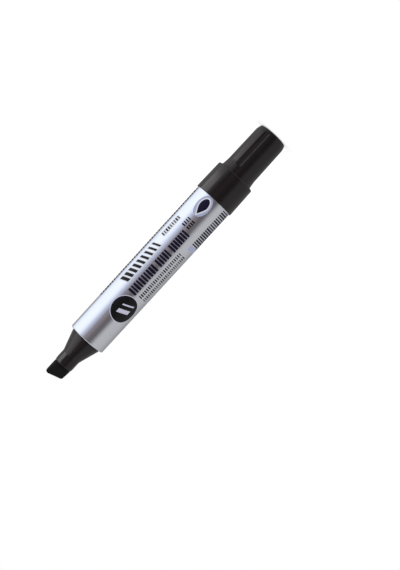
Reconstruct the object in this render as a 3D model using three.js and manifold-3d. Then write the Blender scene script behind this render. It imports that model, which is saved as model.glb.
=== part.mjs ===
// A jumbo chisel marker, standing nib up on the closed end of its cap, which is posted on the rear
// of the barrel. Millimetres, +Z up, origin at the centre of the cap's flat end. The broad side of
// the chisel faces -Y and +Y, and its long corner points to +X.

import * as THREE from "three";
import { mergeVertices } from "three/addons/utils/BufferGeometryUtils.js";
import Module from "manifold-3d";

// Barrel: a drawn aluminium can, closed at the rear, its mouth rolled in over the nozzle's flange
const barrelLength = 116;
const barrelFrontRadius = 10.8; // at the mouth, and on the tail that the cap is posted on
const barrelSwell = 0.37; // how much wider the body is just in front of the tail
const barrelWall = 0.5;
const barrelFloor = 0.8;
const barrelEndRound = 1.2;
const tailRamp = 0.9; // length of the step from the tail up to the body
const lipRound = 1.25; // outside radius of the rolled mouth
const lipFlat = 0.2; // flat part of the mouth inside that radius

// Nozzle: plug in the barrel, cone, collar, and a tube down its middle that holds the nib
const neckGap = 0.25; // between the neck and the rolled mouth
const plugFit = 0.1; // radial clearance of the plug in the barrel
const plugLength = 7.5;
const plugWall = 1.2;
const coneLift = 0.4; // the cone starts this far above the mouth
const coneLength = 11.1;
const coneStep = 0.2; // the cone's top is this much wider than the collar
const noseWall = 1.2;
const collarLength = 7.2;
const collarLand = 0.43; // the collar is this much wider than the nib
const collarFillet = 0.9; // height of the blend from cone to collar
const collarRound = 1.9; // height of the collar's rounded top edge
const collarTopLand = 0.15; // what is left of the land at the collar's top
const tubeWall = 1;
const cavityTopWidth = 0.5; // the hollow between cone and tube narrows to this
const ribCount = 4;
const ribThickness = 1;

// Sealing ring, squeezed between the nozzle's flange and the rolled mouth
const sealRadius = 0.35;
const sealGap = 0.05;

// Nib: round felt stock with a shouldered shank, cut to a slanted chisel
const nibWidth = 10;
const nibShoulder = 0.7; // the shank is this much smaller than the head, all round
const nibFit = 0.06; // radial clearance of the shank in its tube
const nibHeadLength = 7.1; // from the collar to the middle of the edge
const nibSlant = 17.7; // degrees
const nibEdge = 2.8; // thickness at the writing edge
const nibWedge = 5.5; // length of the chisel faces
const nibLongRound = 1.6; // corner radii of the broad side
const nibShortRound = 1;
const nibShortLean = 0.5; // the short side leans in by this much
const nibTailDepth = 6.5; // how far the shank reaches into the reservoir
const nibTailTaper = 2.5;
const nibTailRadius = 2.6;

// Reservoir: fibre rod in a film sleeve
const filmThickness = 0.25;
const filmGap = 0.1;
const filmInset = 1.2; // the rod stands out of its sleeve by this much at each end
const recessGap = 0.15;

// Cap: skirt, shoulder and finger grip in one shell, with a liner that seals on the collar
const skirtLength = 17.4; // shoulder to rim
const capFit = 0.12; // radial clearance of the skirt's bore on the barrel
const skirtWall = 0.64; // beside the shoulder
const rimFit = 0.16; // radial clearance at the rim, where the bore flares over the body
const rimWall = 0.54;
const rimRound = 0.3;
const boreFlareRamp = 0.9;
const boreFlareStraight = 0.7;
const stepGap = 0.4; // between the flare in the bore and the step on the barrel
const shoulderRound = 0.6;
const ledgeThickness = 1.2;
const throatGap = 0.3; // between the cap's throat and the nozzle's neck when the marker is capped
const throatWall = 0.55;
const throatDepth = 6.4; // from the ledge down to the straight part of the hollow
const flareRise = 0.65; // the grip is this much narrower than the top of its flare
const gripWall = 1.4;
const gripDraft = 0.19; // the grip is this much narrower at the closed end
const endFlatInset = 2.25; // from the grip's side to the flat that the marker stands on
const endSlopeInset = 0.7; // from the grip's side to the top of the rounded edge
const endSlopeHeight = 4.2;
const endRoundHeight = 0.8;
const capFloor = 1.5;
const fluteCount = 3;
const fluteWidth = 3.6;
const fluteDepth = 0.6;
const fluteLow = 1.1; // height of the flute's lower end
const fluteLength = 23.3;
const fluteAngle = 19; // degrees from -Y towards +X
const linerWall = 0.8;
const linerFit = 0.15;
const linerClearance = 0.37; // between the liner's cup and the collar
const linerSealFit = 0.07;
const linerSealHeight = 1;
const linerFunnel = 3; // height of the funnel above the seal
const linerRim = 1.5; // height of the band that holds the liner in the grip
const linerRound = 1;
const nibTipGap = 0.8; // between the nib and the liner's floor when the marker is capped

const seatGap = 0.2; // between pieces that rest on each other
const roundSteps = 48; // facets round the axis
const arcSteps = 4; // facets in a small rounding
const cutMargin = 2; // how far a cutter reaches past what it cuts
const embed = 0.3; // how far joined shapes reach into each other

// Radii that follow from the sizes above
const nibRadius = nibWidth / 2;
const shankRadius = nibRadius - nibShoulder;
const nibBore = shankRadius + nibFit;
const tubeRadius = nibBore + tubeWall;
const collarRadius = nibRadius + collarLand;
const coneTopRadius = collarRadius + coneStep;
const bodyRadius = barrelFrontRadius + barrelSwell;
const tailRadius = barrelFrontRadius;
const barrelBore = barrelFrontRadius - barrelWall;
const mouthRadius = barrelFrontRadius - lipRound - lipFlat;
const neckRadius = mouthRadius - neckGap;
const plugRadius = barrelBore - plugFit;
const filmRadius = barrelBore - filmGap;
const rodRadius = filmRadius - filmThickness - filmGap;
const skirtBore = barrelFrontRadius + capFit;
const rimBore = bodyRadius + rimFit;
const throatRadius = neckRadius + throatGap;
const gripRadius = throatRadius + throatWall - flareRise;
const gripEndRadius = gripRadius - gripDraft;
const hollowRadius = gripRadius - gripWall;
const sealBore = collarRadius + linerSealFit;
const cupBore = collarRadius + linerClearance;
const cupRadius = cupBore + linerWall;

// Heights that follow: the cap first, just deep enough to cover the nib, then the pen on its ledge
const nibSlope = Math.tan(THREE.MathUtils.degToRad(nibSlant));
const nibLongSide = nibHeadLength + nibRadius * nibSlope;
const linerBase = capFloor + seatGap;
const linerFloorTop = linerBase + linerWall;
const noseLength = coneLift + coneLength + collarLength + seatGap + nibLongSide;
const ledge = linerFloorTop + nibTipGap + noseLength;
const shoulder = ledge - ledgeThickness;
const rim = shoulder + skirtLength;
const linerSeal = ledge - coneLift - coneLength - collarLength / 2;
const barrelBase = ledge + seatGap;
const barrelTop = barrelBase + barrelLength;
const tailTop = rim - boreFlareStraight - boreFlareRamp + stepGap;
const flangeTop = barrelTop - barrelWall - 2 * sealGap - 2 * sealRadius;
const plugBase = flangeTop - plugLength;
const coneBase = barrelTop + coneLift;
const coneTop = coneBase + coneLength;
const collarTop = coneTop + collarLength;
const headBase = collarTop + seatGap;
const rodBase = barrelBase + barrelFloor + seatGap;
const rodTop = plugBase - seatGap;
const shankBase = rodTop - nibTailDepth;

const wasm = await Module();
wasm.setup();

// Points of an arc in the (radius, height) half plane, angles in degrees from the radius axis
function arc(centreRadius, centreHeight, size, from, to, steps = arcSteps, height = size) {
  const points = [];
  for (let i = 0; i <= steps; i++) {
    const a = THREE.MathUtils.degToRad(from + ((to - from) * i) / steps);
    points.push([centreRadius + size * Math.cos(a), centreHeight + height * Math.sin(a)]);
  }
  return points;
}

// Turns a profile of [radius, height] points about +Z. It runs up the outside and down the inside.
function turned(profile) {
  const points = profile.map(([radius, height]) => new THREE.Vector2(radius, height));
  return new THREE.LatheGeometry(points, roundSteps).rotateX(Math.PI / 2);
}

// Extrudes an outline of [x, z] points by a thickness that is centred on the XZ plane.
function plate(outline, thickness) {
  const shape = new THREE.Shape(outline.map(([x, z]) => new THREE.Vector2(x, z)));
  return new THREE.ExtrudeGeometry(shape, { depth: thickness, bevelEnabled: false })
    .translate(0, 0, -thickness / 2)
    .rotateX(Math.PI / 2);
}

function solidOf(geometry) {
  const bare = geometry.clone();
  bare.deleteAttribute("normal");
  bare.deleteAttribute("uv");
  const merged = mergeVertices(bare);
  const mesh = new wasm.Mesh({
    numProp: 3,
    vertProperties: merged.attributes.position.array,
    triVerts: new Uint32Array(merged.index.array),
  });
  return new wasm.Manifold(mesh);
}

function geometryOf(solid) {
  const { vertProperties, triVerts } = solid.getMesh();
  const geometry = new THREE.BufferGeometry()
    .setAttribute("position", new THREE.BufferAttribute(vertProperties, 3))
    .setIndex(new THREE.BufferAttribute(triVerts, 1));
  geometry.computeVertexNormals();
  return geometry;
}

function barrel() {
  const innerLip = Math.max(lipRound - barrelWall, sealGap);
  const arcRadius = barrelFrontRadius - lipRound;
  const arcHeight = barrelTop - lipRound;
  const endRadius = tailRadius - barrelEndRound;
  return turned([
    [0, barrelBase],
    ...arc(endRadius, barrelBase + barrelEndRound, barrelEndRound, -90, 0),
    [tailRadius, tailTop],
    [bodyRadius, tailTop + tailRamp],
    ...arc(arcRadius, arcHeight, lipRound, 0, 90),
    [mouthRadius, barrelTop],
    [mouthRadius, barrelTop - barrelWall],
    ...arc(arcRadius, arcHeight, innerLip, 90, 0),
    [bodyRadius - barrelWall, tailTop + tailRamp],
    [tailRadius - barrelWall, tailTop],
    ...arc(endRadius, barrelBase + barrelFloor + innerLip, barrelEndRound - barrelWall, 0, -90),
    [0, barrelBase + barrelFloor],
  ]);
}

function nozzleRib(angle) {
  const neckInside = neckRadius - noseWall + embed;
  return plate(
    [
      [tubeRadius - embed, plugBase],
      [neckInside, plugBase],
      [neckInside, coneBase],
      [tubeRadius + cavityTopWidth + embed, cavityTop()],
      [tubeRadius - embed, cavityTop()],
    ],
    ribThickness,
  ).rotateZ(angle);
}

// Height at which the hollow under the cone has narrowed to its top width
function cavityTop() {
  const slope = (neckRadius - coneTopRadius) / coneLength;
  return coneBase + (neckRadius - noseWall - tubeRadius - cavityTopWidth) / slope;
}

function nozzle() {
  const flangeWeb = flangeTop - noseWall;
  const profile = [
    [plugRadius, plugBase],
    [plugRadius, flangeTop],
    [neckRadius, flangeTop],
    [neckRadius, coneBase],
    [coneTopRadius, coneTop],
    ...arc(coneTopRadius, coneTop + collarFillet, coneStep, -120, -180, arcSteps, collarFillet),
    [collarRadius, collarTop - collarRound],
    ...arc(
      nibRadius + collarTopLand,
      collarTop - collarRound,
      collarLand - collarTopLand,
      0,
      90,
      arcSteps,
      collarRound,
    ).slice(1),
    [nibBore, collarTop],
    [nibBore, plugBase],
    [tubeRadius, plugBase],
    [tubeRadius, cavityTop()],
    [tubeRadius + cavityTopWidth, cavityTop()],
    [neckRadius - noseWall, coneBase],
    [neckRadius - noseWall, flangeWeb],
    [plugRadius - plugWall, flangeWeb],
    [plugRadius - plugWall, plugBase],
    [plugRadius, plugBase],
  ];
  let solid = solidOf(turned(profile));
  for (let i = 0; i < ribCount; i++) {
    solid = solid.add(solidOf(nozzleRib((2 * Math.PI * i) / ribCount)));
  }
  return geometryOf(solid);
}

function nozzleSeal() {
  const centre = neckRadius + sealGap + sealRadius;
  const height = flangeTop + sealGap + sealRadius;
  return turned(arc(centre, height, sealRadius, -180, 180, 2 * arcSteps));
}

// Outline of the nib's broad side: the slanted edge, its two rounded corners and the leaning side
function nibOutline() {
  const slant = nibSlant;
  const reach = Math.hypot(1, nibSlope);
  const middle = headBase + nibHeadLength;
  const longX = nibRadius - nibLongRound;
  const longZ = middle + nibSlope * longX - nibLongRound * reach;
  const lean = THREE.MathUtils.radToDeg(Math.atan(nibShortLean / nibHeadLength));
  const shortX = -nibRadius + nibShortLean + nibShortRound;
  const shortZ = middle + nibSlope * shortX - nibShortRound * reach;
  return [
    [-nibRadius, headBase],
    [nibRadius, headBase],
    ...arc(longX, longZ, nibLongRound, 0, 90 + slant, 2 * arcSteps),
    ...arc(shortX, shortZ, nibShortRound, 90 + slant, 180 - lean, arcSteps),
  ];
}

// Wedge that leaves the chisel's thickness, square to the slanted edge
function nibWedgeCutter() {
  const half = nibEdge / 2;
  const full = nibRadius + cutMargin;
  const slope = (nibRadius - half) / nibWedge;
  const low = -nibWedge - cutMargin / slope;
  const outline = [
    [-full, -nibHeadLength * 2],
    [full, -nibHeadLength * 2],
    [full, low],
    [half, 0],
    [half, cutMargin],
    [-half, cutMargin],
    [-half, 0],
    [-full, low],
  ];
  return plate(outline, 2 * nibWidth)
    .rotateZ(Math.PI / 2)
    .rotateY(-THREE.MathUtils.degToRad(nibSlant))
    .translate(0, 0, headBase + nibHeadLength);
}

function nib() {
  const stock = turned([
    [0, headBase],
    [nibRadius, headBase],
    [nibRadius, headBase + nibLongSide],
    [0, headBase + nibLongSide],
  ]);
  const shank = turned([
    [0, shankBase],
    [nibTailRadius, shankBase],
    [shankRadius, shankBase + nibTailTaper],
    [shankRadius, headBase + embed],
    [0, headBase + embed],
  ]);
  const head = solidOf(plate(nibOutline(), nibWidth + cutMargin))
    .intersect(solidOf(stock))
    .intersect(solidOf(nibWedgeCutter()));
  return geometryOf(head.add(solidOf(shank)));
}

function inkReservoir() {
  const recess = shankRadius + recessGap;
  return turned([
    [0, rodBase],
    [rodRadius, rodBase],
    [rodRadius, rodTop],
    [recess, rodTop],
    [recess, shankBase - seatGap],
    [0, shankBase - seatGap],
  ]);
}

function reservoirFilm() {
  const low = rodBase + filmInset;
  const high = rodTop - filmInset;
  return turned([
    [filmRadius, low],
    [filmRadius, high],
    [filmRadius - filmThickness, high],
    [filmRadius - filmThickness, low],
    [filmRadius, low],
  ]);
}

// Radius of the grip's outside in the flare under the shoulder, a single hollow curve
function flare() {
  const curve = (throatDepth ** 2 + flareRise ** 2) / (2 * flareRise);
  const points = [];
  for (let i = 0; i <= arcSteps; i++) {
    const height = (throatDepth * i) / arcSteps;
    const radius = gripRadius + curve - Math.sqrt(curve ** 2 - height ** 2);
    points.push([radius, shoulder - throatDepth + height]);
  }
  return points;
}

function fluteCutter(angle) {
  const floor = gripEndRadius - fluteDepth;
  return plate(
    [
      [-fluteWidth / 2, fluteLow],
      [fluteWidth / 2, fluteLow],
      [fluteWidth / 2, fluteLow + fluteLength],
      [-fluteWidth / 2, fluteLow + fluteLength],
    ],
    cutMargin,
  )
    .translate(0, -floor - cutMargin / 2, 0)
    .rotateZ(angle);
}

function capShell() {
  const shoulderRadius = skirtBore + skirtWall;
  const rimRadius = rimBore + rimWall;
  const endRadius = gripEndRadius - endFlatInset;
  const profile = [
    [0, 0],
    ...arc(endRadius, endRoundHeight, endFlatInset - endSlopeInset, -90, 0, arcSteps, endRoundHeight),
    [gripEndRadius, endSlopeHeight],
    ...flare(),
    ...arc(shoulderRadius - shoulderRound, shoulder + shoulderRound, shoulderRound, -90, 0),
    ...arc(rimRadius - rimRound, rim - rimRound, rimRound, 0, 90),
    [rimBore, rim],
    [rimBore, rim - boreFlareStraight],
    [skirtBore, rim - boreFlareStraight - boreFlareRamp],
    [skirtBore, ledge],
    [throatRadius, ledge],
    [hollowRadius, ledge - throatDepth],
    [hollowRadius, capFloor],
    [0, capFloor],
  ];
  let solid = solidOf(turned(profile));
  for (let i = 0; i < fluteCount; i++) {
    const angle = THREE.MathUtils.degToRad(fluteAngle) + (2 * Math.PI * i) / fluteCount;
    solid = solid.subtract(solidOf(fluteCutter(angle)));
  }
  return geometryOf(solid);
}

function innerCap() {
  const bandRadius = hollowRadius - linerFit;
  const bandLow = linerSeal + linerSealHeight / 2 + linerFunnel - linerRim;
  const seal = [linerSeal - linerSealHeight / 2, linerSeal + linerSealHeight / 2];
  return turned([
    [0, linerBase],
    ...arc(cupRadius - linerRound, linerBase + linerRound, linerRound, -90, 0),
    [cupRadius, seal[1]],
    [bandRadius, bandLow],
    [bandRadius, bandLow + linerRim],
    [bandRadius - linerWall, bandLow + linerRim],
    [sealBore, seal[1]],
    [sealBore, seal[0]],
    [cupBore, seal[0] - linerSealHeight / 2],
    [cupBore, linerFloorTop],
    [0, linerFloorTop],
  ]);
}

const aluminium = new THREE.MeshStandardMaterial({ color: 0xc9cbd3, roughness: 0.3, metalness: 1 });
const blackPlastic = new THREE.MeshStandardMaterial({ color: 0x232124, roughness: 0.35 });
const blackFelt = new THREE.MeshStandardMaterial({ color: 0x121113, roughness: 0.95 });
const blackRubber = new THREE.MeshStandardMaterial({ color: 0x1b1b1c, roughness: 0.7 });
const whiteLiner = new THREE.MeshStandardMaterial({ color: 0xe4e2da, roughness: 0.45 });
const inkedFibre = new THREE.MeshStandardMaterial({ color: 0x1c1b22, roughness: 1 });
const clearFilm = new THREE.MeshStandardMaterial({ color: 0xbfc4c8, roughness: 0.2 });

function piece(name, geometry, material) {
  const mesh = new THREE.Mesh(geometry, material);
  mesh.name = name;
  return mesh;
}

const pen = new THREE.Group();
pen.add(
  piece("barrel", barrel(), aluminium),
  piece("nozzle", nozzle(), blackPlastic),
  piece("nozzle_seal", nozzleSeal(), blackRubber),
  piece("nib", nib(), blackFelt),
  piece("ink_reservoir", inkReservoir(), inkedFibre),
  piece("reservoir_film", reservoirFilm(), clearFilm),
);

const cap = new THREE.Group();
cap.add(
  piece("cap_shell", capShell(), blackPlastic),
  piece("inner_cap", innerCap(), whiteLiner),
);

const marker = new THREE.Group();
marker.add(pen, cap);

export default marker;
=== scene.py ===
import math

import bmesh
import bpy
from mathutils import Matrix, Vector, noise


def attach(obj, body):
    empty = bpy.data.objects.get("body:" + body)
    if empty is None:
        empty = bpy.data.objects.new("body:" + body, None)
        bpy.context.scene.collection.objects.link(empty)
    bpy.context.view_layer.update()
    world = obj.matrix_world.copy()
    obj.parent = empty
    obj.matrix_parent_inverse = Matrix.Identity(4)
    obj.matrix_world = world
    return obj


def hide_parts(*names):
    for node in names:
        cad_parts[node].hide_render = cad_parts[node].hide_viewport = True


# A jumbo chisel marker standing nib up on its posted cap. The sizes in the dictionaries are millimetres
# and degrees, and angles round the marker go from -Y, the camera's side, towards +X.
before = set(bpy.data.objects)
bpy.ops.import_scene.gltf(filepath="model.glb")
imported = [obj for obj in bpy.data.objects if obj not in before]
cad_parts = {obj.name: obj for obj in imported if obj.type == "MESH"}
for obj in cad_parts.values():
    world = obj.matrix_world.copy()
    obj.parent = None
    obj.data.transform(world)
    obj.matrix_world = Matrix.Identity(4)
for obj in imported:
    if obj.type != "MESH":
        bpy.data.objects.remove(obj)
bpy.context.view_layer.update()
mm = 0.001
# Edges that turn by more than this stay sharp
sharpAngle = 40
print("frame loaded:", ", ".join(sorted(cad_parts)))


# sRGB hex to the linear colour that a shader takes
def linear(hexColour):
    channels = [int(hexColour[i:i + 2], 16) / 255 for i in (1, 3, 5)]
    return [c / 12.92 if c <= 0.04045 else ((c + 0.055) / 1.055) ** 2.4 for c in channels] + [1]


# Adds one node: settings are its properties, inputs are values or sockets to link from
def addNode(tree, kind, inputs=None, **settings):
    node = tree.nodes.new(kind)
    for name, value in settings.items():
        setattr(node, name, value)
    for name, value in (inputs or {}).items():
        if isinstance(value, bpy.types.NodeSocket):
            tree.links.new(value, node.inputs[name])
        else:
            node.inputs[name].default_value = value
    return node


# These add one node each and return its result as a socket
def addMath(tree, operation, *values):
    return addNode(tree, "ShaderNodeMath", dict(enumerate(values)), operation=operation).outputs[0]


def addVector(tree, x=0, y=0, z=0):
    return addNode(tree, "ShaderNodeCombineXYZ", {0: x, 1: y, 2: z}).outputs[0]


def addMix(tree, factor, first, second, kind="RGBA"):
    mix = addNode(tree, "ShaderNodeMix", {"Factor": factor, "A": first, "B": second}, data_type=kind)
    return mix.outputs["Result"]


def addBump(tree, height, strength, depth):
    bump = addNode(tree, "ShaderNodeBump", {"Height": height, "Strength": strength, "Distance": depth * mm})
    return bump.outputs["Normal"]


# Noise lies mostly between 0.3 and 0.7, and this spreads it from low to high
def addSpread(tree, value, low, high):
    spread = addNode(tree, "ShaderNodeMapRange", {
        "Value": value, "From Min": 0.3, "From Max": 0.7, "To Min": low, "To Max": high})
    return spread.outputs["Result"]


# Noise in the piece's own space. The scale is per metre, with a number for each axis where the noise is
# stretched.
def addNoise(tree, scale, detail):
    place = addNode(tree, "ShaderNodeTexCoord").outputs["Object"]
    if isinstance(scale, tuple):
        place = addNode(tree, "ShaderNodeMapping", {"Vector": place, "Scale": scale}).outputs["Vector"]
        scale = 1
    pattern = addNode(tree, "ShaderNodeTexNoise", {"Vector": place, "Scale": scale, "Detail": detail})
    return pattern.outputs["Fac"]


def newMaterial(name):
    material = bpy.data.materials.new(name)
    material.use_nodes = True
    material.node_tree.nodes.clear()
    return material, material.node_tree


def addSkin(tree, inputs):
    skin = addNode(tree, "ShaderNodeBsdfPrincipled", inputs)
    addNode(tree, "ShaderNodeOutputMaterial", {"Surface": skin.outputs["BSDF"]})


def newTree(name, sockets):
    tree = bpy.data.node_groups.new(name, "GeometryNodeTree")
    tree.interface.new_socket("Geometry", in_out="INPUT", socket_type="NodeSocketGeometry")
    for label, kind in sockets.items():
        tree.interface.new_socket(label, in_out="INPUT", socket_type="NodeSocket" + kind)
    tree.interface.new_socket("Geometry", in_out="OUTPUT", socket_type="NodeSocketGeometry")
    return tree


# Gives the geometry its material and sends it out of the tree
def endTree(tree, geometry, finish):
    dressed = addNode(tree, "GeometryNodeSetMaterial", {"Geometry": geometry, "Material": finish})
    addNode(tree, "NodeGroupOutput", {"Geometry": dressed.outputs["Geometry"]})


# Runs a node tree on a mesh with its named inputs set, and keeps what it makes as a plain mesh. A wall makes
# a flat piece solid, that many mm deep.
def growPiece(name, mesh, tree, values, wall=0):
    maker = bpy.data.objects.new(name + "Maker", mesh)
    bpy.context.scene.collection.objects.link(maker)
    modifier = maker.modifiers.new("grow", "NODES")
    modifier.node_group = tree
    for item in tree.interface.items_tree:
        if item.in_out == "INPUT" and item.name in values:
            modifier[item.identifier] = values[item.name]
    if wall:
        solid = maker.modifiers.new("wall", "SOLIDIFY")
        solid.thickness = wall * mm
        solid.offset = -1
    made = bpy.data.meshes.new_from_object(maker.evaluated_get(bpy.context.evaluated_depsgraph_get()))
    bpy.data.objects.remove(maker)
    return placePiece(name, made)


def placePiece(name, mesh):
    mesh.name = name
    mesh.shade_smooth()
    mesh.set_sharp_from_angle(angle=math.radians(sharpAngle))
    piece = bpy.data.objects.new(name, mesh)
    bpy.context.scene.collection.objects.link(piece)
    return piece


# Satin moulded polypropylene: broad soft highlights over a fine spark-eroded grain
def blackPolypropylene():
    material, tree = newMaterial("blackPolypropyleneMoulded")
    # The real grain is about 0.05 mm, drawn at 0.2 mm so that it shows
    grain = addNoise(tree, scale=5000, detail=2)
    cloud = addNoise(tree, scale=150, detail=4)
    addSkin(tree, {
        "Base Color": addMix(tree, cloud, linear("#181314"), linear("#1e1819")),
        "Roughness": addSpread(tree, cloud, low=0.14, high=0.19),
        "IOR": 1.4,
        "Normal": addBump(tree, grain, strength=0.15, depth=0.02)})
    return material


# Drawn aluminium under clear lacquer: soft metal reflections with faint draw lines along the axis
def lacqueredAluminium():
    material, tree = newMaterial("drawnAluminiumLacquered")
    # Draw lines 0.15 mm apart and some 12 mm long
    lines = addNoise(tree, scale=(7000, 7000, 80), detail=3)
    cloud = addNoise(tree, scale=90, detail=3)
    addSkin(tree, {
        "Base Color": addMix(tree, cloud, linear("#d8dae1"), linear("#dcdee5")),
        "Metallic": 1,
        "Roughness": addSpread(tree, lines, low=0.22, high=0.28),
        "Normal": addBump(tree, lines, strength=0.1, depth=0.01)})
    return material


# Screen-printed enamel ink: an even film with a slight gloss and tiny thin spots
def screenInk(name, hexColour):
    material, tree = newMaterial(name)
    spots = addNoise(tree, scale=2500, detail=3)
    shade = linear(hexColour)
    # Where the film is thin, a little of the grey metal comes through
    thin = [0.9 * c + 0.008 for c in shade[:3]] + [1]
    patchy = addNode(tree, "ShaderNodeMapRange", {"Value": spots, "From Min": 0.4, "From Max": 0.75})
    addSkin(tree, {
        "Base Color": addMix(tree, patchy.outputs["Result"], shade, thin),
        "Roughness": addSpread(tree, spots, low=0.34, high=0.44),
        "IOR": 1.45,
        "Specular IOR Level": 0.25})
    return material


# Pressed polyester felt soaked with black ink: dull, with short fibres along the nib
def inkedFelt():
    material, tree = newMaterial("pressedFeltInked")
    # Fibres are about 0.03 mm thick, drawn at 0.15 mm
    fibres = addNoise(tree, scale=(6500, 6500, 900), detail=4)
    addSkin(tree, {
        "Base Color": addMix(tree, fibres, linear("#060405"), linear("#0f0b0c")),
        "Roughness": 0.9,
        "IOR": 1.45,
        "Specular IOR Level": 0.3,
        "Sheen Weight": 0.05,
        "Sheen Roughness": 0.5,
        "Normal": addBump(tree, fibres, strength=0.7, depth=0.06)})
    return material


# Bonded polyester fibre rod, dark with ink: long parallel fibres
def inkedFibreRod():
    material, tree = newMaterial("polyesterFibreInked")
    fibres = addNoise(tree, scale=(4000, 4000, 60), detail=4)
    addSkin(tree, {
        "Base Color": addMix(tree, fibres, linear("#141319"), linear("#36343f")),
        "Roughness": 0.85,
        "Normal": addBump(tree, fibres, strength=0.6, depth=0.1)})
    return material


# Thin clear polypropylene film, slightly wrinkled lengthwise
def clearFilm():
    material, tree = newMaterial("polypropyleneFilmClear")
    wrinkles = addNoise(tree, scale=(700, 700, 60), detail=2)
    addSkin(tree, {
        "Base Color": linear("#dfe3e6"),
        "Roughness": 0.12,
        "IOR": 1.49,
        "Transmission Weight": 0.85,
        "Normal": addBump(tree, wrinkles, strength=0.3, depth=0.2)})
    return material


# Black nitrile rubber: matt, with a fine powdery bloom
def nitrileRubber():
    material, tree = newMaterial("nitrileRubberBlack")
    bloom = addNoise(tree, scale=3000, detail=4)
    addSkin(tree, {
        "Base Color": addMix(tree, bloom, linear("#161617"), linear("#2a2a2c")),
        "Roughness": 0.72,
        "IOR": 1.52})
    return material


# Natural low-density polyethylene: milky and waxy, lets a little light in
def naturalPolyethylene():
    material, tree = newMaterial("polyethyleneNatural")
    flow = addNoise(tree, scale=260, detail=3)
    addSkin(tree, {
        "Base Color": addMix(tree, flow, linear("#dedacd"), linear("#efece2")),
        "Roughness": 0.42,
        "IOR": 1.51,
        "Subsurface Weight": 0.15,
        "Subsurface Scale": 0.8 * mm})
    return material


aluminium = lacqueredAluminium()
polypropylene = blackPolypropylene()
felt = inkedFelt()
liner = naturalPolyethylene()
blackInk = screenInk("screenInkBlack", "#0d0c0f")
navyInk = screenInk("screenInkNavy", "#08042c")
lilacInk = screenInk("screenInkLilac", "#b9bfdf")
paleInk = screenInk("screenInkPale", "#dadaee")
whiteInk = screenInk("screenInkWhite", "#f4f5fa")
print("materials made")


# Rounds the corners of a profile of (radius, height, rounding) and returns plain (radius, height) points.
# A rounding takes less than half of the edge on either side of its corner.
def roundedProfile(corners, steps=6):
    most = 0.48
    points = []
    for i, (radius, height, size) in enumerate(corners):
        here = Vector((radius, height))
        if size == 0 or i in (0, len(corners) - 1):
            points.append(here)
            continue
        back = Vector(corners[i - 1][:2]) - here
        ahead = Vector(corners[i + 1][:2]) - here
        half = back.angle(ahead) / 2
        reach = min(size / math.tan(half), most * back.length, most * ahead.length)
        size = reach * math.tan(half)
        centre = here + (back.normalized() + ahead.normalized()).normalized() * size / math.sin(half)
        start = here + back.normalized() * reach - centre
        turn = math.pi - 2 * half
        side = 1 if back.x * ahead.y - back.y * ahead.x < 0 else -1
        for k in range(steps + 1):
            angle = side * turn * k / steps
            spoke = Vector((start.x * math.cos(angle) - start.y * math.sin(angle),
                            start.x * math.sin(angle) + start.y * math.cos(angle)))
            points.append(centre + spoke)
    return points


# Turns a row of profile points (radius on X, height on Z) about the marker's axis, and merges the points that
# meet on the axis and at the seam
def turningTree():
    mergeGap = 0.001
    tree = newTree("turnProfile", {"Segments": "Int", "Finish": "Material"})
    given = addNode(tree, "NodeGroupInput").outputs
    profile, segments = given["Geometry"], given["Segments"]
    rows = addNode(tree, "GeometryNodeAttributeDomainSize", {"Geometry": profile}).outputs["Point Count"]
    columns = addMath(tree, "ADD", segments, 1)
    sheet = addNode(tree, "GeometryNodeMeshGrid", {"Vertices X": columns, "Vertices Y": rows})
    index = addNode(tree, "GeometryNodeInputIndex").outputs["Index"]
    column = addMath(tree, "FLOOR", addMath(tree, "DIVIDE", index, rows))
    row = addMath(tree, "MODULO", index, rows)
    place = addNode(tree, "GeometryNodeInputPosition").outputs["Position"]
    point = addNode(tree, "GeometryNodeSampleIndex", {
        "Geometry": profile, "Value": place, "Index": row}, data_type="FLOAT_VECTOR")
    parts = addNode(tree, "ShaderNodeSeparateXYZ", {0: point.outputs["Value"]}).outputs
    angle = addMath(tree, "MULTIPLY", addMath(tree, "DIVIDE", column, segments), 2 * math.pi)
    x = addMath(tree, "MULTIPLY", parts["X"], addMath(tree, "COSINE", angle))
    y = addMath(tree, "MULTIPLY", parts["X"], addMath(tree, "SINE", angle))
    turned = addNode(tree, "GeometryNodeSetPosition", {
        "Geometry": sheet.outputs["Mesh"], "Position": addVector(tree, x, y, parts["Z"])})
    closed = addNode(tree, "GeometryNodeMergeByDistance", {
        "Geometry": turned.outputs["Geometry"], "Distance": mergeGap * mm})
    endTree(tree, closed.outputs["Geometry"], given["Finish"])
    return tree


turning = turningTree()


def turnedPiece(name, points, finish, segments=160):
    mesh = bpy.data.meshes.new(name + "Profile")
    mesh.from_pydata([(r * mm, 0, z * mm) for r, z in points], [], [])
    piece = growPiece(name, mesh, turning, {"Segments": segments, "Finish": finish})
    faceOut(piece.data)
    return piece


# Normals of a closed mesh point outwards
def faceOut(mesh):
    noLength = 0.0001
    work = bmesh.new()
    work.from_mesh(mesh)
    bmesh.ops.dissolve_degenerate(work, dist=noLength * mm, edges=work.edges[:])
    bmesh.ops.recalc_face_normals(work, faces=work.faces[:])
    work.to_mesh(mesh)
    work.free()


# The barrel: a drawn can whose open mouth is rolled in round the nozzle. Its radius falls a little, from body
# to front, and its tail is stepped to take the cap.
can = {"base": 31.1, "top": 147.1, "tail": 10.8, "tailTop": 45.9, "ramp": 0.9, "body": 11.17, "front": 10.8,
       "wall": 0.5, "floor": 0.8, "endRound": 1.2, "lipRound": 1.25, "mouth": 9.35}
can["bodyBase"] = can["tailTop"] + can["ramp"]
can["shoulder"] = can["top"] - can["lipRound"]


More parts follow.
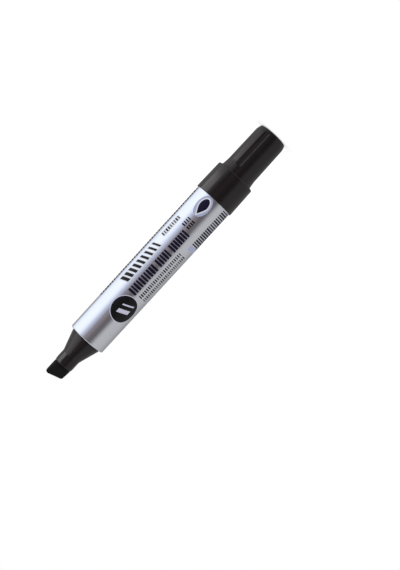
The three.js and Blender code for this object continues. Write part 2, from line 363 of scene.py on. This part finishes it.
def makeBarrel():
    wall = can["wall"]
    innerShoulder = can["shoulder"] - 1
    corners = [
        (0, can["base"], 0),
        (can["tail"], can["base"], can["endRound"]),
        (can["tail"], can["tailTop"], 0.5),
        (can["body"], can["bodyBase"], 0.8),
        (can["front"], can["shoulder"], 0),
        (can["front"], can["top"], can["lipRound"]),
        (can["mouth"], can["top"], 0.12),
        (can["mouth"], can["top"] - wall, 0.12),
        (can["front"] - wall, can["top"] - wall, can["lipRound"] - wall),
        (can["front"] - wall, innerShoulder, 0),
        (can["body"] - wall, can["bodyBase"], 0.5),
        (can["tail"] - wall, can["tailTop"], 0.5),
        (can["tail"] - wall, can["base"] + can["floor"], 0.7),
        (0, can["base"] + can["floor"], 0),
    ]
    piece = turnedPiece("barrelCan", roundedProfile(corners, steps=8), aluminium, segments=192)
    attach(piece, "pen")
    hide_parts("barrel")


makeBarrel()
print("barrel made")


# The nozzle: plug and flange in the can, then neck, cone and collar, with a ribbed tube inside for the nib.
# A dark groove runs round it where it leaves the can.
nose = {"plug": 10.2, "plugBase": 138.3, "seam": 141.3, "flangeTop": 145.8, "neck": 9.1, "groove": 8.4,
        "grooveBase": 146.9, "grooveSlope": 0.05, "coneBase": 147.75, "coneSlope": 0.02, "coneTop": 158.6,
        "coneTopRadius": 5.63, "collar": 5.43, "collarBase": 159.5, "lipRadius": 5.32, "lipBase": 165.3,
        "collarTop": 165.8, "collarTopRadius": 5.12, "topRound": 1.9, "wall": 1.2, "bore": 4.36, "tube": 5.36,
        "hollowTop": 153.1, "hollowTopRadius": 5.86, "ribs": 4, "ribThickness": 1, "ribBite": 0.3,
        "ribInset": 0.1}


def makeNozzle():
    web = nose["flangeTop"] - nose["wall"]
    inside = nose["neck"] - nose["wall"]
    top = nose["collarTop"]
    # The outline starts and ends on the plug, out of sight
    corners = [
        (nose["plug"], nose["seam"], 0),
        (nose["plug"], nose["flangeTop"], 0.15),
        (nose["neck"], nose["flangeTop"], 0.1),
        (nose["neck"], nose["grooveBase"], 0.05),
        (nose["groove"], nose["grooveBase"] + nose["grooveSlope"], 0.05),
        (nose["groove"], nose["coneBase"], 0.05),
        (nose["neck"], nose["coneBase"] + nose["coneSlope"], 0.08),
        (nose["coneTopRadius"], nose["coneTop"], 1.2),
        (nose["collar"], nose["collarBase"], 0.5),
        (nose["collar"], top - nose["topRound"], 0.8),
        (nose["lipRadius"], nose["lipBase"], 0.5),
        (nose["collarTopRadius"], top, 0.12),
        (nose["bore"], top, 0.15),
        (nose["bore"], nose["plugBase"], 0.1),
        (nose["tube"], nose["plugBase"], 0.1),
        (nose["tube"], nose["hollowTop"], 0.1),
        (nose["hollowTopRadius"], nose["hollowTop"], 0.1),
        (inside, nose["coneBase"], 0.2),
        (inside, web, 0.2),
        (nose["plug"] - nose["wall"], web, 0.3),
        (nose["plug"] - nose["wall"], nose["plugBase"], 0.2),
        (nose["plug"], nose["plugBase"], 0.3),
        (nose["plug"], nose["seam"], 0),
    ]
    piece = turnedPiece("nozzleBody", roundedProfile(corners, steps=7), polypropylene)
    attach(piece, "pen")
    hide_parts("nozzle")


# Copies one rib round the axis. The points of a tiny ring count the copies.
def ribTree():
    ringRadius = 0.1
    tree = newTree("ribsRound", {"Count": "Int", "Finish": "Material"})
    given = addNode(tree, "NodeGroupInput").outputs
    ring = addNode(tree, "GeometryNodeMeshCircle", {"Vertices": given["Count"], "Radius": ringRadius * mm})
    index = addNode(tree, "GeometryNodeInputIndex").outputs["Index"]
    angle = addMath(tree, "MULTIPLY", addMath(tree, "DIVIDE", index, given["Count"]), 2 * math.pi)
    copies = addNode(tree, "GeometryNodeInstanceOnPoints", {
        "Points": ring.outputs["Mesh"], "Instance": given["Geometry"], "Rotation": addVector(tree, z=angle)})
    real = addNode(tree, "GeometryNodeRealizeInstances", {"Geometry": copies.outputs["Instances"]})
    endTree(tree, real.outputs["Geometry"], given["Finish"])
    return tree


# The ribs bite into the tube and into the wall, so that no gap shows
def makeNozzleRibs():
    near = nose["tube"] - nose["ribBite"]
    far = nose["neck"] - nose["wall"] + nose["ribBite"]
    low = nose["plugBase"] + nose["ribInset"]
    outline = [(near, low), (far, low), (far, nose["coneBase"]),
               (nose["hollowTopRadius"] + nose["ribBite"], nose["hollowTop"]), (near, nose["hollowTop"])]
    half = nose["ribThickness"] / 2
    corners = [(r * mm, side * half * mm, z * mm) for side in (-1, 1) for r, z in outline]
    count = len(outline)
    faces = [list(range(count)), list(range(2 * count - 1, count - 1, -1))]
    faces += [[(k + 1) % count, k, k + count, (k + 1) % count + count] for k in range(count)]
    mesh = bpy.data.meshes.new("rib")
    mesh.from_pydata(corners, [], faces)
    piece = growPiece("nozzleRibs", mesh, ribTree(), {"Count": nose["ribs"], "Finish": polypropylene})
    faceOut(piece.data)
    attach(piece, "pen")


makeNozzle()
makeNozzleRibs()
print("nozzle made")


# The nib: its solid, merged and remeshed so that the cut edges are soft, then swollen and roughened where it
# stands out of the nozzle. Fibres and flecks are the noise's frequencies across and along the nib.
tip = {"mergeGap": 0.002, "grid": 0.14, "smoothing": 3, "easing": 0.5, "roughFrom": 166.3, "swell": 0.12,
       "roughness": 0.03, "fibres": (2.6, 0.5), "flecks": (6, 3), "fibreShare": 0.7}


def fibreNoise(spot, across, along):
    return noise.noise(Vector((spot.x * across, spot.y * across, spot.z * along)))


def makeNib():
    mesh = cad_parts["nib"].data.copy()
    work = bmesh.new()
    work.from_mesh(mesh)
    bmesh.ops.remove_doubles(work, verts=work.verts[:], dist=tip["mergeGap"] * mm)
    work.to_mesh(mesh)
    work.free()
    maker = bpy.data.objects.new("nibMaker", mesh)
    bpy.context.scene.collection.objects.link(maker)
    remesh = maker.modifiers.new("soften", "REMESH")
    remesh.mode = "VOXEL"
    remesh.voxel_size = tip["grid"] * mm
    smooth = maker.modifiers.new("ease", "SMOOTH")
    smooth.factor = tip["easing"]
    smooth.iterations = tip["smoothing"]
    made = bpy.data.meshes.new_from_object(maker.evaluated_get(bpy.context.evaluated_depsgraph_get()))
    bpy.data.objects.remove(maker)
    for vertex, normal in zip(made.vertices, [v.normal.copy() for v in made.vertices]):
        spot = vertex.co / mm
        if spot.z < tip["roughFrom"]:
            continue
        fibre = fibreNoise(spot, *tip["fibres"])
        fleck = fibreNoise(spot, *tip["flecks"])
        rough = tip["fibreShare"] * fibre + (1 - tip["fibreShare"]) * fleck
        vertex.co += normal * (tip["swell"] + rough * tip["roughness"]) * mm
    made.materials.clear()
    made.materials.append(felt)
    piece = placePiece("nibFelt", made)
    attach(piece, "nib")
    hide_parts("nib")


makeNib()
print("nib made")


# The cap: skirt, shoulder and finger grip in one moulding. The gate mark is a dimple in the closed end.
cap = {"gate": 0.9, "gateEdge": 1.05, "gateDepth": 0.12, "endFlat": 6.86, "endRound": 0.8,
       "slopeRadius": 8.41, "gripLow": 9.11, "gripLowHeight": 4.2, "grip": 9.3, "flareBase": 23.3,
       "flareEnd": (9.92, 29.45), "flareTop": 9.95, "shoulder": 29.7, "shoulderRadius": 11.56,
       "shoulderRound": 0.7, "rim": 47.1,
       "rimRadius": 11.87, "rimBore": 11.33, "rimBoreBase": 46.4, "bore": 10.92, "boreTop": 45.5,
       "ledge": 30.9, "throat": 9.4, "hollow": 7.9, "hollowTop": 24.5, "floor": 1.5}
# Its flutes: flat-bottomed grooves down the grip. A straight wall takes up the share of the edge's width in
# wall, and the share of its depth in wallRise. Edge and topEdge are those widths, beside and above the floor.
flutes = {"count": 3, "angle": 18.2, "width": 2, "floor": 8.51, "base": 0.3, "top": 25, "edge": 1.2,
          "topEdge": 0.5, "wall": 0.4, "wallRise": 0.72, "edgeRadius": 8.9, "columnsBetween": 44}
# Places across a flute's edge, as shares of its width, from just inside the floor to the grip
edgeSteps = (-0.1, -0.02, 0.02, 0.14, 0.27, 0.38, 0.42, 0.47, 0.53, 0.6, 0.7, 0.84, 1)


# The shell's outline, from the middle of its closed end up the outside and down the inside
def capOutline():
    roundSteps, slopeSteps, gripSteps, flareSteps, flareStep = 8, 10, 12, 15, 0.4
    midFlat = cap["endFlat"] * 0.6
    points = [(0, cap["gateDepth"]), (cap["gate"], cap["gateDepth"]), (cap["gateEdge"], 0), (midFlat, 0),
              (cap["endFlat"], 0)]
    width = cap["slopeRadius"] - cap["endFlat"]
    for k in range(1, roundSteps + 1):
        angle = math.pi / 2 * k / roundSteps
        points.append((cap["endFlat"] + width * math.sin(angle), cap["endRound"] * (1 - math.cos(angle))))
    for k in range(1, slopeSteps):
        points.append((cap["gripLow"] - (cap["gripLow"] - cap["slopeRadius"]) * (1 - k / slopeSteps) ** 2,
                       cap["endRound"] + (cap["gripLowHeight"] - cap["endRound"]) * k / slopeSteps))
    for k in range(gripSteps + 1):
        points.append((cap["gripLow"] + (cap["grip"] - cap["gripLow"]) * k / gripSteps,
                       cap["gripLowHeight"] + (cap["flareBase"] - cap["gripLowHeight"]) * k / gripSteps))
    # The flare is an arc, with its rows closer together across the flutes' upper edge
    rise, spread = cap["shoulder"] - cap["flareBase"], cap["flareTop"] - cap["grip"]
    curve = (rise ** 2 + spread ** 2) / (2 * spread)
    nearEdge = 1.2 * flutes["topEdge"]
    heights = [cap["flareBase"] + flareStep * k for k in range(1, flareSteps + 1)]
    heights = [h for h in heights if abs(h - flutes["top"]) > nearEdge]
    heights += [flutes["top"] + flutes["topEdge"] * k for k in edgeSteps]
    for height in sorted(heights):
        up = height - cap["flareBase"]
        points.append((cap["grip"] + curve - math.sqrt(curve ** 2 - up ** 2), height))
    return points + roundedProfile([
        (*cap["flareEnd"], 0),
        (cap["flareTop"], cap["shoulder"], 0.12),
        (cap["shoulderRadius"], cap["shoulder"], cap["shoulderRound"]),
        (cap["rimRadius"], cap["rim"], 0.3),
        (cap["rimBore"], cap["rim"], 0.15),
        (cap["rimBore"], cap["rimBoreBase"], 0.2),
        (cap["bore"], cap["boreTop"], 0.3),
        (cap["bore"], cap["ledge"], 0.2),
        (cap["throat"], cap["ledge"], 0.3),
        (cap["hollow"], cap["hollowTop"], 1.5),
        (cap["hollow"], cap["floor"], 0.5),
        (0, cap["floor"], 0)], steps=7)


# The angles of the shell's columns: close together across each flute, and even between the flutes
def capAngles():
    half = flutes["width"] / 2
    marks = [half + flutes["edge"] * k for k in edgeSteps]
    marks += [-m for m in marks] + [-half / 2, 0, half / 2]
    near = sorted(math.degrees(math.asin(m / flutes["edgeRadius"])) for m in marks)
    step = 360 / flutes["count"]
    columns = flutes["columnsBetween"]
    gap = [near[-1] + (step + near[0] - near[-1]) * k / columns for k in range(1, columns)]
    return [flutes["angle"] + step * n + a for n in range(flutes["count"]) for a in near + gap]


# How far a point of the grip is pressed in towards a flute's floor, from 0 to 1: the floor ends at a straight
# wall, which rolls over into the grip without a crease
def fluteShare(offset, height):
    wall, rise = flutes["wall"], flutes["wallRise"]
    power = rise * (1 - wall) / ((1 - rise) * wall)
    share = 1
    for past, width in ((abs(offset) - flutes["width"] / 2, flutes["edge"]),
                        (height - flutes["top"], flutes["topEdge"])):
        along = min(1, max(0, past / width))
        if along < wall:
            share *= 1 - rise * along / wall
        else:
            share *= (1 - rise) * ((1 - along) / (1 - wall)) ** power
    return share


# The radius at an angle and a height, once the nearest flute is pressed in
def flutedRadius(radius, angle, height):
    step = 360 / flutes["count"]
    off = math.radians((angle - flutes["angle"] + step / 2) % step - step / 2)
    floor = flutes["floor"] / math.cos(off)
    if height < flutes["base"] or radius < floor:
        return radius
    return radius - (radius - floor) * fluteShare(radius * math.sin(off), height)


def makeCapShell():
    outline = capOutline()
    angles = capAngles()
    rimRow = max(range(len(outline)), key=lambda k: outline[k][1])
    mesh = bmesh.new()
    rows = []
    for k, (radius, height) in enumerate(outline):
        if radius == 0:
            rows.append([mesh.verts.new((0, 0, height * mm))] * len(angles))
            continue
        row = []
        for angle in angles:
            reach = flutedRadius(radius, angle, height) if k < rimRow else radius
            turn = math.radians(angle)
            spot = (reach * math.sin(turn) * mm, -reach * math.cos(turn) * mm, height * mm)
            row.append(mesh.verts.new(spot))
        rows.append(row)
    for low, high in zip(rows, rows[1:]):
        for k in range(len(angles)):
            n = (k + 1) % len(angles)
            corners = [low[k], low[n], high[n], high[k]]
            mesh.faces.new([v for i, v in enumerate(corners) if v not in corners[:i]])
    bmesh.ops.recalc_face_normals(mesh, faces=mesh.faces[:])
    made = bpy.data.meshes.new("capShell")
    mesh.to_mesh(made)
    mesh.free()
    made.materials.append(polypropylene)
    piece = placePiece("capMoulding", made)
    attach(piece, "cap")
    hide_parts("cap_shell")


makeCapShell()
print("cap made")


# The liner in the cap, which seals on the nozzle's collar when the marker is closed
seal = {"base": 1.7, "wall": 0.8, "cup": 6.6, "cupBore": 5.8, "cupBoreTop": 14.8, "sealBore": 5.5,
        "sealLow": 15.3, "sealHigh": 16.3, "band": 7.75, "bandLow": 17.8, "bandHigh": 19.3}


def makeLiner():
    floor = seal["base"] + seal["wall"]
    corners = [
        (0, seal["base"], 0),
        (seal["cup"], seal["base"], 1),
        (seal["cup"], seal["sealHigh"], 0.8),
        (seal["band"], seal["bandLow"], 0.2),
        (seal["band"], seal["bandHigh"], 0.2),
        (seal["band"] - seal["wall"], seal["bandHigh"], 0.2),
        (seal["sealBore"], seal["sealHigh"], 0.3),
        (seal["sealBore"], seal["sealLow"], 0.3),
        (seal["cupBore"], seal["cupBoreTop"], 0.3),
        (seal["cupBore"], floor, 0.6),
        (0, floor, 0),
    ]
    piece = turnedPiece("capLiner", roundedProfile(corners), liner, segments=128)
    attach(piece, "cap")
    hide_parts("inner_cap")


makeLiner()
print("liner made")

finishes = {"nozzle_seal": nitrileRubber(), "ink_reservoir": inkedFibreRod(), "reservoir_film": clearFilm()}
for node, finish in finishes.items():
    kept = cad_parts[node].data
    kept.materials.clear()
    kept.materials.append(finish)
print("inner pieces finished")

# How deep the print is drawn, from its face down into the metal
inkDepth = 0.12


# Wraps flat print, drawn as (length of arc, height) in X and Y, round the can and lays it on the metal
def addWrap(tree, flat, given):
    place = addNode(tree, "GeometryNodeInputPosition").outputs["Position"]
    parts = addNode(tree, "ShaderNodeSeparateXYZ", {0: place}).outputs
    metal = addNode(tree, "ShaderNodeMapRange", {
        "Value": parts["Y"], "From Min": can["bodyBase"] * mm, "From Max": can["shoulder"] * mm,
        "To Min": can["body"] * mm, "To Max": can["front"] * mm}).outputs["Result"]
    radius = addMath(tree, "ADD", metal, given["Lift"])
    turn = addMath(tree, "ADD", addMath(tree, "DIVIDE", parts["X"], metal), given["Angle"])
    x = addMath(tree, "MULTIPLY", radius, addMath(tree, "SINE", turn))
    y = addMath(tree, "MULTIPLY", radius, addMath(tree, "COSINE", turn))
    spot = addVector(tree, x, addMath(tree, "MULTIPLY", y, -1), parts["Y"])
    wrapped = addNode(tree, "GeometryNodeSetPosition", {"Geometry": flat, "Position": spot})
    endTree(tree, wrapped.outputs["Geometry"], given["Finish"])


# A row of printed bars down the can, whose thickness goes evenly from first to last or is scattered between
# them
def barTree():
    tree = newTree("printedBars", {
        "Count": "Int", "Start": "Float", "Pitch": "Float", "Angle": "Float", "Width": "Float",
        "First": "Float", "Last": "Float", "Scatter": "Float", "Lean": "Float", "Seed": "Int",
        "Lift": "Float", "Finish": "Material"})
    given = addNode(tree, "NodeGroupInput").outputs
    down = addMath(tree, "MULTIPLY", given["Pitch"], -1)
    line = addNode(tree, "GeometryNodeMeshLine", {
        "Count": given["Count"], "Start Location": addVector(tree, y=given["Start"]),
        "Offset": addVector(tree, y=down)})
    index = addNode(tree, "GeometryNodeInputIndex").outputs["Index"]
    even = addNode(tree, "ShaderNodeMapRange", {
        "Value": addMath(tree, "DIVIDE", index, given["Count"]),
        "To Min": given["First"], "To Max": given["Last"]})
    # Its inputs 2 and 3 are the least and the most that the draw gives
    chance = addNode(tree, "FunctionNodeRandomValue", {
        2: given["First"], 3: given["Last"], "Seed": given["Seed"]}, data_type="FLOAT")
    thickness = addMix(tree, given["Scatter"], even.outputs["Result"], chance.outputs[1], "FLOAT")
    # Nine points across are enough for a bar to bend round the can
    bar = addNode(tree, "GeometryNodeMeshGrid", {"Vertices X": 9, "Vertices Y": 2})
    copies = addNode(tree, "GeometryNodeInstanceOnPoints", {
        "Points": line.outputs["Mesh"], "Instance": bar.outputs["Mesh"],
        "Scale": addVector(tree, given["Width"], thickness, 1)})
    real = addNode(tree, "GeometryNodeRealizeInstances", {"Geometry": copies.outputs["Instances"]})
    place = addNode(tree, "GeometryNodeInputPosition").outputs["Position"]
    across = addNode(tree, "ShaderNodeSeparateXYZ", {0: place}).outputs["X"]
    shear = addMath(tree, "MULTIPLY", across, given["Lean"])
    leant = addNode(tree, "GeometryNodeSetPosition", {
        "Geometry": real.outputs["Geometry"], "Offset": addVector(tree, y=shear)})
    addWrap(tree, leant.outputs["Geometry"], given)
    return tree


# Lays one flat printed shape on the can
def patchTree():
    tree = newTree("printedPatch", {"Angle": "Float", "Lift": "Float", "Finish": "Material"})
    given = addNode(tree, "NodeGroupInput").outputs
    addWrap(tree, given["Geometry"], given)
    return tree


# A row of bars from top to end: angle of its middle, width round the can, first and last thickness. With a
# seed the thicknesses are scattered between those two.
def bars(ink, top, end, angle, width, count, first, last, seed=0, lean=0, lift=0.04):
    return dict(ink=ink, top=top, end=end, angle=angle, width=width, count=count, first=first, last=last,
                seed=seed, lean=lean, lift=lift)


printRows = {
    "navyBarsOne": bars(navyInk, 111.6, 94.6, -7, 5.1, 10, 1.05, 1.6, seed=4),
    "navyBarsTwo": bars(navyInk, 91.4, 84.2, -7, 5.1, 5, 1.05, 1.5, seed=6),
    "navyBarsThree": bars(navyInk, 81, 70.3, -7, 5.1, 7, 1.05, 1.5, seed=10),
    "tallHalo": bars(whiteInk, 109.2, 84.9, 35, 6.2, 9, 2.9, 1.9, lean=0.35),
    "tallBars": bars(blackInk, 109.2, 84.9, 35, 5.2, 9, 2, 1, lean=0.35, lift=0.07),
    "codeHalo": bars(whiteInk, 78.4, 66.4, 41.5, 3.4, 9, 1.5, 1.5),
    "codeBars": bars(blackInk, 78.4, 66.4, 41.5, 2.4, 9, 0.5, 0.9, seed=9, lift=0.07),
    "shortBarsInner": bars(blackInk, 67.3, 63.2, -1, 2, 4, 0.6, 0.9, seed=3),
    "shortBarsOuter": bars(blackInk, 67.5, 63.2, 14, 2.2, 4, 0.7, 1, seed=7),
    "innerRule": bars(blackInk, 111, 80.4, -36, 2.2, 24, 0.5, 0.85, seed=5),
    "outerRule": bars(blackInk, 111, 80.4, -54, 2.3, 26, 0.45, 0.75, seed=8),
    "sideStripes": bars(navyInk, 71.8, 48.2, -62, 7.2, 18, 0.6, 1.1, seed=2),
    "edgeRuleOne": bars(blackInk, 123.8, 48.6, 71, 1.2, 44, 0.7, 1.5, seed=11),
    "edgeRuleTwo": bars(blackInk, 123.8, 48.6, 79, 1.2, 44, 0.7, 1.5, seed=12),
    "edgeRuleThree": bars(blackInk, 123.8, 48.6, 87, 1.2, 44, 0.7, 1.5, seed=13),
    "edgeRuleFour": bars(blackInk, 123.8, 62, 95, 1.2, 36, 0.7, 1.5, seed=14),
}


def makePrintRows():
    tree = barTree()
    for name, row in printRows.items():
        anchor = bpy.data.meshes.new(name + "Anchor")
        pitch = (row["top"] - row["end"]) / (row["count"] - 1)
        piece = growPiece(name, anchor, tree, {
            "Count": row["count"], "Start": row["top"] * mm, "Pitch": pitch * mm,
            "Angle": math.radians(row["angle"]), "Width": row["width"] * mm, "First": row["first"] * mm,
            "Last": row["last"] * mm, "Scatter": float(row["seed"] > 0), "Lean": float(row["lean"]),
            "Seed": row["seed"], "Lift": row["lift"] * mm, "Finish": row["ink"]}, wall=inkDepth)
        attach(piece, "pen")


# A flat patch filled in rings from its middle out, so that it bends evenly round the can
def ringPatch(name, outline):
    rings = 10
    count = len(outline)
    middle = Vector((sum(p[0] for p in outline) / count, sum(p[1] for p in outline) / count))
    points = [(middle.x * mm, middle.y * mm, 0)]
    for k in range(1, rings + 1):
        points += [((middle.x + (x - middle.x) * k / rings) * mm,
                    (middle.y + (y - middle.y) * k / rings) * mm, 0) for x, y in outline]
    faces = [(0, 1 + i, 1 + (i + 1) % count) for i in range(count)]
    for k in range(rings - 1):
        a, b = 1 + k * count, 1 + (k + 1) * count
        faces += [(a + i, b + i, b + (i + 1) % count, a + (i + 1) % count) for i in range(count)]
    mesh = bpy.data.meshes.new(name)
    mesh.from_pydata(points, [], faces)
    return mesh


turnSteps = 64
roundTurn = [2 * math.pi * k / turnSteps for k in range(turnSteps)]


def ovalOutline(height, across, tall):
    return [(across / 2 * math.cos(a), height + tall / 2 * math.sin(a)) for a in roundTurn]


# A drop hanging point up: a round belly, drawn in above its middle and out to a tip
def dropOutline(height, across, tall):
    pinch, pinchPower, stretch = 0.55, 1.5, 0.25
    points = []
    for a in roundTurn:
        drawIn = pinch * max(0, math.sin(a)) ** pinchPower
        drawOut = stretch * math.sin(a / 2 + math.pi / 4) ** 2 * (1 - abs(math.sin(a / 2 - math.pi / 4)))
        x = across / 2 * math.cos(a) * (1 - drawIn)
        points.append((x, height + tall / 2 * math.sin(a) * (1 + drawOut)))
    return points


# A broad slanted pen stroke with square ends
def strokeOutline(height, across, tall, lean):
    corners = [(across / 2, height + tall / 2 + lean / 2), (-across / 2, height + tall / 2 - lean / 2),
               (-across / 2, height - tall / 2 - lean / 2), (across / 2, height - tall / 2 + lean / 2)]
    steps = 10
    points = []
    for a, b in zip(corners, corners[1:] + corners[:1]):
        points += [(a[0] + (b[0] - a[0]) * i / steps, a[1] + (b[1] - a[1]) * i / steps) for i in range(steps)]
    return points


badges = {
    "discRing": dict(ink=paleInk, angle=-24, lift=0.03, outline=ovalOutline(121.4, 15.2, 15.9)),
    "disc": dict(ink=blackInk, angle=-24, lift=0.06, outline=ovalOutline(121.4, 14.4, 15.1)),
    "discStrokeBroad": dict(ink=paleInk, angle=-26, lift=0.09, outline=strokeOutline(122.6, 6.2, 2.4, 2.4)),
    "discStrokeFine": dict(ink=paleInk, angle=-26, lift=0.09, outline=strokeOutline(118.6, 6.2, 0.9, 2.4)),
    "oval": dict(ink=lilacInk, angle=8.6, lift=0.03, outline=ovalOutline(53.65, 8.2, 12.8)),
    "ovalDropHalo": dict(ink=whiteInk, angle=8.4, lift=0.05, outline=dropOutline(53.4, 6.2, 10.2)),
    "ovalDrop": dict(ink=navyInk, angle=8.4, lift=0.09, outline=dropOutline(53.3, 4.8, 8.5)),
    "stripeCap": dict(ink=lilacInk, angle=-62, lift=0.03, outline=strokeOutline(74.4, 7.2, 2.8, 0)),
}


def makeBadges():
    patch = patchTree()
    for name, badge in badges.items():
        values = {"Angle": math.radians(badge["angle"]), "Lift": badge["lift"] * mm, "Finish": badge["ink"]}
        piece = growPiece(name, ringPatch(name, badge["outline"]), patch, values, wall=inkDepth)
        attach(piece, "pen")


makePrintRows()
makeBadges()
print("print made:", len(printRows), "rows and", len(badges), "badges")


# A pale floor under the marker and a pale studio round it. The floor is a hair below the cap's end, so that
# the two faces don't lie in one plane.
studio = {"floorRadius": 3000, "floorSides": 96, "floorDrop": 0.02, "floorColour": "#f2f2f4",
          "floorGlow": 0.5, "ambient": 0.72, "panelDistance": 700}


# 1 for rays that come from the camera, straight or through clear film
def addSeen(tree, path):
    return addMath(tree, "MAXIMUM", path.outputs["Is Camera Ray"], path.outputs["Is Transmission Ray"])


def makeFloor():
    mesh = bmesh.new()
    below = Matrix.Translation((0, 0, -studio["floorDrop"] * mm))
    bmesh.ops.create_circle(mesh, cap_ends=True, segments=studio["floorSides"],
                            radius=studio["floorRadius"] * mm, matrix=below)
    made = bpy.data.meshes.new("floor")
    mesh.to_mesh(made)
    mesh.free()
    floor = placePiece("floor", made)
    material, tree = newMaterial("paleTableTop")
    path = addNode(tree, "ShaderNodeLightPath")
    glow = addMath(tree, "MULTIPLY", addSeen(tree, path), studio["floorGlow"])
    shade = addNode(tree, "ShaderNodeBsdfDiffuse", {"Color": linear(studio["floorColour"])})
    light = addNode(tree, "ShaderNodeEmission", {"Strength": glow})
    both = addNode(tree, "ShaderNodeAddShader", {0: shade.outputs[0], 1: light.outputs[0]})
    addNode(tree, "ShaderNodeOutputMaterial", {"Surface": both.outputs[0]})
    made.materials.append(material)
    floor.visible_glossy = False


# The studio: white to the camera, and to the object a tent with a dark opening where the camera stands,
# a grey side and a bright side. Stops are the angle round from behind the marker, a grey and its tint.
plain, mauve = (1, 1, 1), (1, 0.86, 0.91)
tent = [(0, 0.3, plain), (40, 0.4, plain), (75, 0.58, plain), (130, 0.64, plain), (143, 0.4, plain),
        (152, 0.14, plain), (164, 0.14, mauve), (175, 0.2, mauve), (185, 0.27, mauve), (193, 0.34, mauve),
        (203, 0.2, mauve), (215, 0.24, mauve), (224, 0.6, plain), (234, 0.85, plain), (250, 0.95, plain),
        (290, 0.85, plain), (320, 0.4, plain), (360, 0.3, plain)]
# What the object mirrors of the pale ground and ceiling: their grey, and how steep a ray is where they start
# and where they are full
ends = {"grey": 0.9, "starts": 0.72, "full": 0.9}


def makeStudio():
    world = bpy.data.worlds.new("paleStudio")
    bpy.context.scene.world = world
    world.use_nodes = True
    tree = world.node_tree
    tree.nodes.clear()
    way = addNode(tree, "ShaderNodeTexCoord").outputs["Generated"]
    parts = addNode(tree, "ShaderNodeSeparateXYZ", {0: way}).outputs
    # The ramp starts and ends at -Y, half a turn on from the first stop, and runs by +X, +Y and -X
    turn = addMath(tree, "ARCTAN2", parts["X"], parts["Y"])
    share = addNode(tree, "ShaderNodeMapRange", {"Value": turn, "From Min": math.pi, "From Max": -math.pi})
    walls = addNode(tree, "ShaderNodeValToRGB", {"Fac": share.outputs["Result"]})
    ramp = walls.color_ramp
    while len(ramp.elements) > 1:
        ramp.elements.remove(ramp.elements[0])
    for k, (angle, grey, tint) in enumerate(tent):
        place = (angle + 180) % 360 / 360
        stop = ramp.elements[0] if k == 0 else ramp.elements.new(place)
        stop.position = place
        stop.color = [grey * channel for channel in tint] + [1]
    steep = addMath(tree, "ABSOLUTE", parts["Z"])
    past = addNode(tree, "ShaderNodeMapRange", {
        "Value": steep, "From Min": ends["starts"], "From Max": ends["full"]})
    wallsAndEnds = addMix(tree, past.outputs["Result"], walls.outputs["Color"], [ends["grey"]] * 3 + [1])
    path = addNode(tree, "ShaderNodeLightPath")
    even = [studio["ambient"]] * 3 + [1]
    mirrored = addMix(tree, path.outputs["Is Glossy Ray"], even, wallsAndEnds)
    colour = addMix(tree, addSeen(tree, path), mirrored, (1, 1, 1, 1))
    sky = addNode(tree, "ShaderNodeBackground", {"Color": colour})
    addNode(tree, "ShaderNodeOutputWorld", {"Surface": sky.outputs["Background"]})


# Soft panels on the marker's bright side, all as far away. Each falls on its own pieces, as if the others
# were flagged off: two on the cap, the second where its skirt reflects it and its grip doesn't, two on the
# nozzle, for its cone and for its collar, and a wide weak one on the metal and all the rest, which has no
# pieces named.
cool, warm = "#d3e4ff", "#fffafc"
onCap, onNozzle, onRest = ("capMoulding",), ("nozzleBody", "nozzleRibs"), ()
panels = {
    "metalPanel": dict(falls=onRest, angle=76, height=110, wide=1930, tall=700, watts=2.4, colour=cool),
    "capPanel": dict(falls=onCap, angle=84, height=110, wide=680, tall=700, watts=0.5, colour=warm),
    "skirtPanel": dict(falls=onCap, angle=80, height=200, wide=620, tall=520, watts=1.9, colour=warm),
    "conePanel": dict(falls=onNozzle, angle=58, height=710, wide=980, tall=480, watts=1.4, colour=warm),
    "collarPanel": dict(falls=onNozzle, angle=70, height=270, wide=610, tall=300, watts=1.55, colour=warm),
}


def makePanels():
    pieces = {item.name: item for item in bpy.data.objects if item.type == "MESH" and item.name != "floor"}
    rest = set(pieces).difference(*[panel["falls"] for panel in panels.values()])
    for name, panel in panels.items():
        lamp = bpy.data.lights.new(name, "AREA")
        lamp.shape = "RECTANGLE"
        lamp.size = panel["wide"] * mm
        lamp.size_y = panel["tall"] * mm
        lamp.energy = panel["watts"]
        lamp.color = linear(panel["colour"])[:3]
        holder = bpy.data.objects.new(name, lamp)
        bpy.context.scene.collection.objects.link(holder)
        turn = math.radians(panel["angle"])
        away = Vector((math.sin(turn), -math.cos(turn), 0))
        holder.location = (away * studio["panelDistance"] + Vector((0, 0, panel["height"]))) * mm
        holder.rotation_euler = away.to_track_quat("Z", "Y").to_euler()
        holder.visible_camera = False
        lit = bpy.data.collections.new(name + "Lit")
        for pieceName in sorted(panel["falls"] or rest):
            lit.objects.link(pieces[pieceName])
        holder.light_linking.receiver_collection = lit


# The photograph's camera: level with the marker and rolled, so that the nib points down to the left. Its
# clipping distances are metres.
view = {"place": (-25, -654.6, 85.1), "right": (-0.7378, 0, -0.67502), "up": (0.67502, 0, -0.7378),
        "lens": 77.65, "sensor": 36, "clip": (0.05, 20)}


def makeCamera():
    data = bpy.data.cameras.new("camera")
    data.lens = view["lens"]
    data.sensor_width = view["sensor"]
    data.clip_start, data.clip_end = view["clip"]
    camera = bpy.data.objects.new("camera", data)
    bpy.context.scene.collection.objects.link(camera)
    right, up = Vector(view["right"]).normalized(), Vector(view["up"]).normalized()
    axes = Matrix((right, up, right.cross(up))).transposed().to_4x4()
    camera.matrix_world = Matrix.Translation(Vector(view["place"]) * mm) @ axes
    bpy.context.scene.camera = camera


makeFloor()
makeStudio()
makePanels()
makeCamera()
bpy.context.scene.view_settings.view_transform = "Standard"
print("studio and camera set")
